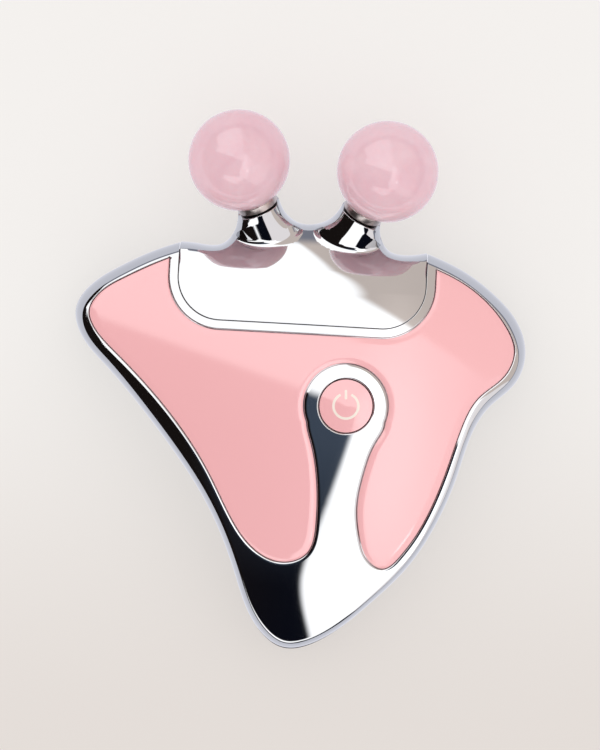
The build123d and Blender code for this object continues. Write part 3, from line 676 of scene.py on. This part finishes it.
class Skin:
    """Gathers triangles and quads with a normal for each corner, and makes one closed mesh."""

    def __init__(self):
        self.points, self.faces, self.normals, self.count = [], [], [], 0

    def sheet(self, plan, heights, normals, flip=False):
        """A plan's triangles at their heights. Flipped, they face downwards."""
        points, faces = plan
        self.points.append(np.column_stack([points, heights * np.ones(len(points))]))
        if flip:
            faces, normals = faces[:, ::-1], -normals
        self.faces += (faces + self.count).tolist()
        self.normals += normals[faces].reshape(-1, 3).tolist()
        self.count += len(points)

    def wall(self, loop, high, low):
        """A wall down from a loop whose normals point into the piece."""
        ring, push = loop
        n = len(ring)
        for heights in (high, low):
            self.points.append(np.column_stack([ring, heights * np.ones(n)]))
        out = np.column_stack([-push, np.zeros(n)])
        tall = (high - low) * np.ones(n) > NO_HEIGHT
        for i in range(n):
            j = (i + 1) % n
            lower = [(n, k) for k in (i, j) if tall[k]]
            if lower:
                corners = [(0, i), *lower, (0, j)]
                self.faces.append([self.count + shift + k for shift, k in corners])
                self.normals += [out[k].tolist() for _, k in corners]
        self.count += 2 * n

    def mesh(self, name, material):
        """One object of all that was gathered, with the points that coincide merged."""
        points = np.vstack(self.points)
        rounded = np.round(points, MERGE_DIGITS)
        _, first, merged = np.unique(rounded, axis=0, return_index=True, return_inverse=True)
        merged = merged.ravel()
        faces = [[int(merged[i]) for i in face] for face in self.faces]
        mesh = bpy.data.meshes.new(name)
        mesh.from_pydata((points[first] * MM).tolist(), [], faces)
        mesh.shade_smooth()
        mesh.normals_split_custom_set(self.normals)
        mesh.materials.append(material)
        piece = bpy.data.objects.new(name, mesh)
        bpy.context.scene.collection.objects.link(piece)
        return piece


print("body plan inside test:", within(np.array([[0.0, 0.0], [0.0, 20.0]]), body_loop[0]))

# %% [markdown]
# ## The head
# The head is one moulding: it carries the body's crown on, slopes down to a low bridge at the front, and
# two necks grow out of it towards the balls. Seen from the front it hides nothing of itself, so its skin
# can be a height for each place of its plan. The plan's front is a smooth curve, with the round end of
# each neck, and its back is the bay's wall.

# %% The head's front outline
HEAD_RIGHT = [
    (27.4, 28.4), (24.5, 27.6), (20.5, 26.75), (18.2, 26.7), (16.5, 27.15), (15.3, 28.1), (14.55, 29.3),
    (14.15, 30.6), (14.01, 32.0),
]
HEAD_BRIDGE = [
    (6.37, 35.92), (5.55, 34.3), (4.9, 33.45), (3.6, 32.4), (2.15, 31.75), (0.6, 31.35), (-0.9, 31.3),
    (-2.3, 31.6), (-3.7, 32.35), (-4.95, 33.4), (-5.55, 34.3), (-6.37, 35.92),
]
HEAD_LEFT = [
    (-14.01, 32.0), (-14.1, 30.6), (-14.35, 29.3), (-14.9, 28.1), (-15.75, 27.0), (-16.9, 26.15),
    (-18.2, 25.8), (-21.3, 25.9), (-24.5, 26.0), (-27.4, 25.7),
]
NECK_BACK = NECK_START * math.cos(LIFT)
NECK_SQUASH = NECK_RADIUS * math.sin(LIFT)
END_PLACES = 60


def neck_axis(side):
    """The direction from the head to a ball's centre."""
    return np.array([side * math.sin(TOE) * math.cos(LIFT), math.cos(TOE) * math.cos(LIFT), math.sin(LIFT)])


def neck_place(points, side):
    """How far places of the plan lie behind the ball along its neck, and beside the neck's axis."""
    offset = points - np.array([side * BALL_PLACE[0], BALL_PLACE[1]])
    out = np.array([side * math.sin(TOE), math.cos(TOE)])
    return -offset @ out, offset @ np.array([out[1], -out[0]])


def neck_point(back, beside, side):
    """The place of the plan that lies there."""
    out = np.array([side * math.sin(TOE), math.cos(TOE)])
    centre = np.array([side * BALL_PLACE[0], BALL_PLACE[1]])
    return centre - np.multiply.outer(back, out) + np.multiply.outer(beside, np.array([out[1], -out[0]]))


def neck_end(side):
    """The neck's round end, seen from the front, from its right to its left."""
    turn = np.linspace(0, math.pi, END_PLACES)
    return neck_point(NECK_BACK - NECK_SQUASH * np.sin(turn), NECK_RADIUS * np.cos(turn), side)


front_row = np.vstack([
    smooth_curve(HEAD_RIGHT), neck_end(1), smooth_curve(HEAD_BRIDGE), neck_end(-1), smooth_curve(HEAD_LEFT)])
behind = np.array([(-40.0, -20.0), (40.0, -20.0)])
front_loop = even_loop([front_row, behind], spacing=0.25)
head_front = front_row[bay_distance(front_row, -SEAM) < 0]
head_sides = bay_walk(-SEAM, along_bay(head_front, 1)[0], along_bay(head_front, 1)[-1])[::-1]
head_loop = even_loop([head_front, head_sides], spacing=0.3)
print("head loop:", len(head_loop[0]), "points, front:", len(front_loop[0]))

# %% [markdown]
# The heights: the crown and a slope that steepens slowly meet in a soft edge, and each neck is a round
# ridge that sinks towards its root, with a tight valley where it meets the slope. Towards the outline
# everything rolls over to the height of the widest place. The slopes of the heights give the normals.

# %% The head's heights
SLOPE_START = (20.7, 17.83)
SLOPE_ANGLE = math.radians(30.0)
SLOPE_RADIUS = 60.0
CREASE_BLEND = 0.8

# the underside climbs from the back to the widest place, which lies further out under the bridge, whose
# share fades between these two half widths
HEAD_BACK = 21.2
EDGE_HEIGHT = 7.3
FRONT_REACH = 26.6
BRIDGE_REACH = 4.7
BRIDGE_HALF = (6.0, 12.0)

# the rolls: of the shoulders, tighter by so much at the bridge, and of the necks
HEAD_ROLL = 1.5
BRIDGE_TIGHTER = 0.4
BRIDGE_ROLL_HALF = (4.0, 10.0)
NECK_ROLL = 1.0
EDGE_BREAK = 0.09

# each neck's ridge: its spare width, how its sides fall, and how it flares out towards its root, which
# starts nearer to the ball on the outer side
RIDGE_SPARE = 0.35
RIDGE_FALL = 3.0
VALLEY_BLEND = 1.0
END_BLEND = 0.2
FLARE_RADIUS = 5.2
FLARE_RUN = 4.2
OUTER_FLARE = 8.6
INNER_FLARE = 11.6

# where a neck has its own edge height and its own roll: how far behind the ball, and how far beside
NECK_EDGE_ZONE = ((15.5, 12.0), (9.0, 5.5))
NECK_ROLL_ZONE = ((14.0, 11.0), (8.0, 5.5))
ON_OUTLINE = 0.006


def soft_min(a, b, blend):
    """The lower of two heights, with a rounded change from one to the other."""
    h = np.clip(0.5 + 0.5 * (b - a) / blend, 0, 1)
    return b + (a - b) * h - blend * h * (1 - h)


def soft_max(a, b, blend):
    """The higher of two heights, rounded in the same way."""
    return -soft_min(-a, -b, blend)


def soft_step(value, low, high):
    """A smooth change from 0 to 1 between two values."""
    share = np.clip((value - low) / (high - low), 0, 1)
    return share * share * (3 - 2 * share)


def round_sink(distance, radius):
    """How far a quarter circle has sunk at a distance from its top."""
    return radius - np.sqrt(radius**2 - distance**2)


def zone_share(back, beside, zone):
    """How far places lie inside a zone of a neck, whose borders are soft."""
    return soft_step(back, *zone[0]) * soft_step(beside, *zone[1])


def head_heights(points):
    """The head's upper and lower height at places of its plan."""
    u, v = along_bay(points, 0), along_bay(points, 1)
    cap = np.sqrt((CROWN_RADIUS - PANEL_PROUD) ** 2 - u**2 - (v - CROWN_Y) ** 2)
    slope_y = SLOPE_START[0] - SLOPE_RADIUS * math.sin(SLOPE_ANGLE)
    slope_z = SLOPE_START[1] - SLOPE_RADIUS * math.cos(SLOPE_ANGLE)
    slope = slope_z + np.sqrt(SLOPE_RADIUS**2 - (v - slope_y) ** 2) - u**2 / (2 * CROWN_RADIUS)
    top = soft_min(CROWN_TOP - CROWN_RADIUS + cap, slope, CREASE_BLEND)
    reach = FRONT_REACH + BRIDGE_REACH * (1 - soft_step(np.abs(u), *BRIDGE_HALF))
    base = EDGE_HEIGHT * np.clip((v - HEAD_BACK) / (reach - HEAD_BACK), 0, 1)
    edge = np.full(len(points), EDGE_HEIGHT)
    roll = HEAD_ROLL - BRIDGE_TIGHTER * (1 - soft_step(np.abs(u), *BRIDGE_ROLL_HALF))
    for side in (-1, 1):
        back, beside = neck_place(points, side)
        flare_start = np.where(beside * side > 0, OUTER_FLARE, INNER_FLARE)
        beside = np.abs(beside)
        axis = BALL_PLACE[2] - back * math.tan(LIFT)
        half = NECK_RADIUS + RIDGE_SPARE + round_sink(np.clip(back - flare_start, 0, FLARE_RUN), FLARE_RADIUS)
        round_off = NECK_RADIUS / math.cos(LIFT) * np.sqrt(1 - np.minimum(beside / half, 1) ** 2)
        fall = RIDGE_FALL * np.maximum(beside - half, 0)
        top = soft_max(top, axis + round_off - fall, VALLEY_BLEND)
        base = np.minimum(base, axis - round_off + fall)
        end = BALL_PLACE[2] + (back * math.cos(LIFT) - NECK_START) / math.sin(LIFT)
        top = soft_min(top, end, END_BLEND)
        edge = np.minimum(edge + (axis - edge) * zone_share(back, beside, NECK_EDGE_ZONE), end)
        roll = roll - (HEAD_ROLL - NECK_ROLL) * zone_share(back, beside, NECK_ROLL_ZONE)
    gap = nearest(points, *front_loop)[0]
    share = np.clip(1 - gap / roll, 0, 1)
    share[gap < ON_OUTLINE] = 1
    full = np.sqrt(1 - share**2)
    top = edge + (np.maximum(top, edge) - edge) * full
    base = edge + (np.clip(base, 0, edge) - edge) * full
    seam = np.clip(1 + bay_distance(points, -SEAM) / EDGE_BREAK, 0, 1)
    return top - EDGE_BREAK * round_sink(seam, 1), base


def head_normals(points, which, step=0.003):
    """The normals of the upper (0) or lower (1) height, measured over a small step each way."""
    slope = np.zeros((len(points), 2))
    for axis, shift in enumerate(np.eye(2) * step):
        rise = head_heights(points + shift)[which] - head_heights(points - shift)[which]
        slope[:, axis] = rise / (2 * step)
    normal = np.column_stack([-slope, np.ones(len(points))])
    gap, push = nearest(points, *front_loop)
    on_edge = gap < ON_OUTLINE
    normal[on_edge] = np.column_stack([-push, np.zeros(len(points))])[on_edge]
    return normal / np.linalg.norm(normal, axis=1)[:, None]


print("head's height in the middle:", head_heights(np.array([[0.0, 16.0]]))[0].round(2), "mm")

# %% [markdown]
# The sheet needs places close together where it bends most: in rows along the outline, round the rim of
# each neck's end, and along the sides of the ridges. The upper and the lower sheet share one plan.

# %% Head
RIM_SHIFTS = (-0.25, -0.12, -0.05, 0.0, 0.05, 0.12, 0.25)
RIDGE_SIDES = np.arange(3.0, 6.0, 0.15)
RIDGE_PLACES = np.arange(NECK_BACK + 0.6, NECK_BACK + 6.0, 0.25)
HEAD_ROWS = (0.012, 0.03, 0.06, 0.1, 0.25, 0.42, 0.65, 0.95, 1.4, 2.0)
HEAD_SPACING = 0.45
HALF_TURN = np.linspace(0.02, math.pi - 0.02, 70)
rim = []
for side in (-1, 1):
    for shift in RIM_SHIFTS:
        back = NECK_BACK + NECK_SQUASH * np.sin(HALF_TURN) + shift
        rim.append(neck_point(back, NECK_RADIUS * np.cos(HALF_TURN), side))
    for beside in RIDGE_SIDES:
        for signed in (beside, -beside):
            rim.append(neck_point(RIDGE_PLACES, np.full(len(RIDGE_PLACES), signed), side))
head_plan = field(head_loop, [], [(head_loop, HEAD_ROWS)], HEAD_SPACING, np.vstack(rim))
top, base = head_heights(head_plan[0])
head_skin = Skin()
head_skin.sheet(head_plan, top, head_normals(head_plan[0], 0))
head_skin.sheet(head_plan, base, head_normals(head_plan[0], 1), flip=True)
head_skin.wall(head_loop, *head_heights(head_loop[0]))
head = head_skin.mesh("head_skin", chrome)
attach(head, "body")
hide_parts("head_shell")
print("head:", len(head.data.polygons), "faces, heights", base.min().round(2), "to", top.max().round(2))

# %% [markdown]
# The bezel's outer sheet rolls over at the outline, widely along the top and tightly along the sides,
# leans down into the recess as a soft lip, and breaks its edge by a hair at the bay and the button's
# hole. Under it come the recess floor, the walls and a ceiling 2 mm inside, so that the shell is closed
# and hollow like the real one.

# %% Bezel
ROLL_DEPTH = 5.0
SIDE_ROLL = 1.3
RIGHT_SIDE_TIGHTER = 0.25
EAR_WIDER = 0.3
TOP_WIDER = 1.1
LIP_ROLL = 0.25
LOBE_LIP_WIDER = 0.45
EARS_FADE = (-8.0, 2.0)
RIGHT_FADE = (5.0, 15.0)
TOP_FADE = (6.0, 15.0)
LOBE_FADE = (8.0, 2.0)
LIP_DEPTH = 0.25
HOLE_ROLL = 0.3
FOLD_SPARE = 0.02
BODY_ROWS = (0.008, 0.03, 0.055, 0.09, 0.16, 0.28, 0.43, 0.6, 0.8, 1.0, 1.25, 1.55, 1.9, 2.3, 2.7)
RECESS_ROWS = (0.02, 0.06, 0.13, 0.25, 0.4, 0.55, 0.7)
HOLE_ROWS = (0.02, 0.06, 0.12, 0.2, 0.3, 0.7)


def outline_roll(points):
    """The roll's width: it tapers from the top edges over the ears to the long sides."""
    x, y = points[:, 0], points[:, 1]
    ears = np.interp(y, EARS_FADE, (0, 1))
    right = np.interp(x, RIGHT_FADE, (0, 1))
    sides = SIDE_ROLL - RIGHT_SIDE_TIGHTER * right * (1 - ears)
    return sides + EAR_WIDER * ears + TOP_WIDER * soft_step(y, *TOP_FADE)


def lip_roll(points):
    """The recess's lip is narrow along the bay's rim and wider beside the lobes."""
    return LIP_ROLL + LOBE_LIP_WIDER * soft_step(points[:, 1], *LOBE_FADE)


def height_of(loop, sink, rolls=()):
    """The heights of a loop's points on such a sheet."""
    return rolled(loop[0], sink, rolls)[0]


hole_loop = circle_loop(BUTTON, HOLE_RADIUS)
recess_edge = hole_in(recess_loop)
BEZEL_ROLLS = [
    (outline_loop, outline_roll, ROLL_DEPTH),
    (bay_edge, EDGE_BREAK, EDGE_BREAK),
    (recess_edge, lip_roll, LIP_DEPTH),
    (hole_loop, HOLE_ROLL, LIP_DEPTH),
]
rows = [(body_loop, BODY_ROWS), (recess_edge, RECESS_ROWS), (hole_loop, HOLE_ROWS)]
top_plan = field(body_loop, [recess_edge, hole_loop], rows, spacing=1.2)
bezel_skin = Skin()
bezel_skin.sheet(top_plan, *rolled(top_plan[0], PANEL_PROUD, BEZEL_ROLLS))

# the inside of the shell: the outline moved inwards by the wall, without the places that fold over
inner_ring = body_loop[0] + body_loop[1] * WALL
inner_ring = inner_ring[nearest(inner_ring, *body_loop)[0] > WALL - FOLD_SPARE]
inner_loop = even_loop([np.vstack([inner_ring, inner_ring[:1]])], spacing=0.5)
inner_edge = hole_in(inner_loop)
floor_plan = field(recess_loop, [], [], spacing=2.5)
bezel_skin.sheet(floor_plan, *rolled(floor_plan[0], PANEL_THICKNESS, ()))
ceiling_plan = field(inner_loop, [hole_loop], [], spacing=3.0)
bezel_skin.sheet(ceiling_plan, *rolled(ceiling_plan[0], ROOF_SINK, ()), flip=True)
rim_plan = field(body_loop, [inner_edge], [], spacing=5.0)
upwards = np.tile([0.0, 0.0, 1.0], (len(rim_plan[0]), 1))
bezel_skin.sheet(rim_plan, SPLIT_HEIGHT, upwards, flip=True)
for loop, high, low in (
    (body_loop, height_of(body_loop, PANEL_PROUD, BEZEL_ROLLS), SPLIT_HEIGHT),
    (recess_edge, height_of(recess_edge, PANEL_PROUD, BEZEL_ROLLS), height_of(recess_edge, PANEL_THICKNESS)),
    (hole_loop, height_of(hole_loop, PANEL_PROUD, BEZEL_ROLLS), height_of(hole_loop, ROOF_SINK)),
    (inner_edge, height_of(inner_edge, ROOF_SINK), SPLIT_HEIGHT),
):
    bezel_skin.wall(loop, high, low)
bezel = bezel_skin.mesh("bezel_skin", chrome)
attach(bezel, "body")
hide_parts("front_bezel")
print("bezel:", len(bezel.data.polygons), "faces")

# %% [markdown]
# The panel is a lacquered moulding that stands a hair above the chrome. Its edge falls away softly over
# 1.6 mm and then turns down into a gap of 0.12 mm, which shows as a fine dark line.

# %% Panel
PANEL_GAP = 0.12
SOFT_ROLL = (1.6, 0.28)
TIGHT_ROLL = (0.2, 0.12)
PANEL_ROWS = (0.02, 0.05, 0.1, 0.2, 0.35, 0.6, 0.9, 1.25, 1.6)
panel_ring = recess_loop[0] + recess_loop[1] * PANEL_GAP
panel_loop = even_loop([np.vstack([panel_ring, panel_ring[:1]])])
PANEL_ROLLS = [(panel_loop, *SOFT_ROLL), (panel_loop, *TIGHT_ROLL)]
panel_plan = field(panel_loop, [], [(panel_loop, PANEL_ROWS)], spacing=1.5)
panel_skin = Skin()
panel_skin.sheet(panel_plan, *rolled(panel_plan[0], 0.0, PANEL_ROLLS))
panel_skin.sheet(panel_plan, *rolled(panel_plan[0], PANEL_THICKNESS, ()), flip=True)
panel_skin.wall(panel_loop, height_of(panel_loop, 0.0, PANEL_ROLLS), height_of(panel_loop, PANEL_THICKNESS))
panel = panel_skin.mesh("panel_skin", pink)
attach(panel, "body")
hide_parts("front_panel")
print("panel:", len(panel.data.polygons), "faces")

# %% [markdown]
# A thin black cord lies in the slit between head and bezel as painted shade: it stands for the shadow deep in
# the seam, and it is what makes the seam look black. It is a round profile swept along the bay's wall.

# %% Seam shade cord
# painted shade: a black cord sunk in the slit, so that the seam looks dark
SHADE_CORD_END = 25.0
SHADE_CORD_SINK = 1.2
SHADE_CORD_STEPS = 8
shade_cord_walk = bay_walk(-SEAM / 2, SHADE_CORD_END, SHADE_CORD_END)[::SHADE_CORD_STEPS]
shade_cord_height = head_heights(shade_cord_walk)[0] - SHADE_CORD_SINK
shade_cord_line = bpy.data.curves.new("painted_seam_shade", "CURVE")
shade_cord_line.dimensions = "3D"
shade_cord_line.bevel_depth = SEAM / 2 * MM
shade_cord_line.bevel_resolution = 2
shade_cord_line.use_fill_caps = True
run = shade_cord_line.splines.new("POLY")
run.points.add(len(shade_cord_walk) - 1)
for point, (x, y), z in zip(run.points, shade_cord_walk, shade_cord_height):
    point.co = (x * MM, y * MM, z * MM, 1.0)
shade_cord = bpy.data.objects.new("painted_seam_shade", shade_cord_line)
bpy.context.scene.collection.objects.link(shade_cord)
bpy.ops.object.select_all(action="DESELECT")
shade_cord.select_set(True)
bpy.context.view_layer.objects.active = shade_cord
bpy.ops.object.convert(target="MESH")
shade_cord = bpy.context.active_object
shade_cord.data.materials.append(seam_black)
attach(shade_cord, "body")
print("seal:", len(shade_cord.data.polygons), "faces")

# %% [markdown]
# ## The rollers
# Each ball is turned from stone, then cut flat and bored for its bush. It is built upright: a sphere is
# bisected, the cut is inset to the bore and pushed in, and then the finished ball is turned onto its
# neck's axis. The collar under it is a short steel ring with broken edges.

# %% Rollers
BORE_RADIUS = 3.03
BORE_DEPTH = 11.0
SHAFT_RADIUS = 1.55
BALL_BREAK = 0.12
COLLAR_BREAK = 0.2
AROUND = 128
FLAT = 0.001
UPRIGHT = 0.99
SHARP_ANGLE = math.radians(40)


def select_faces(piece, test):
    """Selects the faces whose middle passes a test, and goes to edit mode."""
    bpy.ops.object.mode_set(mode="EDIT")
    bpy.ops.mesh.select_mode(type="FACE")
    bpy.ops.mesh.select_all(action="DESELECT")
    bpy.ops.object.mode_set(mode="OBJECT")
    for face in piece.data.polygons:
        face.select = test(face.center / MM, face.normal)
    bpy.ops.object.mode_set(mode="EDIT")


def onto_neck(piece, side):
    """Turns an upright piece onto its neck's axis and moves it to the ball's centre."""
    bpy.ops.object.mode_set(mode="OBJECT")
    piece.rotation_euler = Vector(neck_axis(side)).to_track_quat("Z", "Y").to_euler()
    piece.location = (side * BALL_PLACE[0] * MM, BALL_PLACE[1] * MM, BALL_PLACE[2] * MM)
    bpy.ops.object.transform_apply(location=True, rotation=True, scale=True)


for side, name in ((-1, "left"), (1, "right")):
    bpy.ops.object.select_all(action="DESELECT")
    bpy.ops.mesh.primitive_uv_sphere_add(
        segments=AROUND, ring_count=AROUND // 2, radius=BALL_RADIUS * MM)
    ball = bpy.context.active_object
    ball.name = f"{name}_ball_stone"
    bpy.ops.object.mode_set(mode="EDIT")
    bpy.ops.mesh.select_all(action="SELECT")
    bpy.ops.mesh.bisect(
        plane_co=(0, 0, -COLLAR_SEAT * MM), plane_no=(0, 0, 1), use_fill=True, clear_inner=True)
    select_faces(ball, lambda middle, normal: middle.z < FLAT - COLLAR_SEAT)
    bpy.ops.mesh.bevel(offset=BALL_BREAK * MM, segments=3, affect="EDGES")
    select_faces(ball, lambda middle, normal: middle.z < FLAT - COLLAR_SEAT and normal.z < -UPRIGHT)
    bpy.ops.mesh.inset(thickness=(COLLAR_RADIUS - BORE_RADIUS - BALL_BREAK) * MM)
    bpy.ops.mesh.extrude_region_move(TRANSFORM_OT_translate={"value": (0, 0, BORE_DEPTH * MM)})
    onto_neck(ball, side)
    bpy.ops.object.shade_smooth_by_angle(angle=SHARP_ANGLE)
    ball.data.materials.append(quartz)
    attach(ball, f"{name}_roller")
    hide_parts(f"{name}_roller_ball")

    bpy.ops.object.select_all(action="DESELECT")
    bpy.ops.mesh.primitive_cylinder_add(
        vertices=AROUND, radius=COLLAR_RADIUS * MM, depth=(COLLAR_END - COLLAR_SEAT) * MM,
        location=(0, 0, -(COLLAR_SEAT + COLLAR_END) / 2 * MM))
    collar = bpy.context.active_object
    collar.name = f"{name}_collar_ring"
    bpy.ops.object.transform_apply(location=True, rotation=True, scale=True)
    select_faces(collar, lambda middle, normal: abs(normal.z) > UPRIGHT)
    bpy.ops.mesh.bevel(offset=COLLAR_BREAK * MM, segments=4, affect="EDGES")
    select_faces(collar, lambda middle, normal: abs(normal.z) > UPRIGHT)
    bpy.ops.mesh.inset(thickness=(COLLAR_RADIUS - COLLAR_BREAK - SHAFT_RADIUS) * MM)
    bpy.ops.mesh.bridge_edge_loops()
    onto_neck(collar, side)
    bpy.ops.object.shade_smooth_by_angle(angle=SHARP_ANGLE)
    collar.data.materials.append(steel)
    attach(collar, f"{name}_roller")
    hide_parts(f"{name}_roller_collar")
    print(name, "ball:", len(ball.data.polygons), "collar:", len(collar.data.polygons), "faces")


# %% [markdown]
# The inner pieces are sealed in, but the model keeps them, so each gets its own plain finish: moulded
# plastics and rubbers with a fine grain, and metals with a slight cloudiness.

# %% Finishes of the inner pieces
GRAIN = 0.3
INNER_FINISHES = [
    # name, two tones, roughness, metallic, grain in millimetres, and the nodes that have it;
    # plastics and rubbers, moulded in etched tools: an even satin, duller the softer they are
    ("black_abs", "#16161A", "#202024", 0.5, 0.0, GRAIN, ["tact_switch"]),
    ("white_acetal", "#E6E3DC", "#F0EEE9", 0.4, 0.0, GRAIN, [
        "switch_plunger", "left_roller_bush", "right_roller_bush"]),
    ("silicone_rubber", "#3A3A3E", "#46464A", 0.7, 0.0, GRAIN, ["case_gasket", "motor_boot"]),
    ("moulded_epoxy", "#121214", "#1C1C1F", 0.6, 0.0, GRAIN, ["board_chips"]),
    ("diffused_lens", "#F4F0E2", "#FBF8EE", 0.3, 0.0, GRAIN, ["power_led"]),
    # cut foam with open cells, sprayed mask on glass fibre, and extruded insulation
    ("black_foam", "#1E1E20", "#303034", 0.95, 0.0, 0.6, ["battery_pad"]),
    ("green_solder_mask", "#125030", "#1A5E3A", 0.35, 0.0, GRAIN, ["main_board", "port_board"]),
    ("red_insulation", "#9C1C1C", "#AC2626", 0.45, 0.0, GRAIN, [
        "battery_leads", "motor_leads", "port_leads", "head_leads"]),
    # rolled and plated metals: large soft clouds; ground and sintered ones: a fine even grain
    ("battery_foil", "#B6B8BC", "#C6C8CC", 0.35, 1.0, 1.5, ["battery"]),
    ("nickel_plate", "#A9A69E", "#BCB9B1", 0.25, 1.0, 0.8, ["vibration_motor", "charge_port"]),
    ("zinc_plate", "#9C9EA4", "#B2B4BA", 0.3, 1.0, 0.5, [
        "case_screws", "head_screws", "board_screws", "shaft_nuts"]),
    ("ground_steel", "#A4A6AA", "#B8BABE", 0.22, 1.0, 0.2, [
        "left_roller_shaft", "right_roller_shaft", "motor_shaft", "shaft_clips"]),
    ("sintered_brass", "#A88A4C", "#B89A5A", 0.4, 1.0, 0.2, ["motor_weight", "contact_tags"]),
]
finished = [
    (chrome, ["rear_shell", "front_bezel", "head_shell"]),
    (pink, ["front_panel", "rear_panel", "button_cap"]),
    (quartz, ["left_roller_ball", "right_roller_ball"]),
    (steel, ["left_roller_collar", "right_roller_collar"]),
    (cream, ["button_symbol"]),
]
for name, dark, pale, roughness, metallic, grain_mm, names in INNER_FINISHES:
    surface = {"Roughness": roughness, "Metallic": metallic}
    finished.append((mottled(name, dark, pale, grain_mm, surface, Detail=2.0), names))
for material, names in finished:
    for name in names:
        mesh = nodes[name].data
        mesh.materials.clear()
        mesh.materials.append(material)
print("finished nodes:", sum(len(names) for _, names in finished))
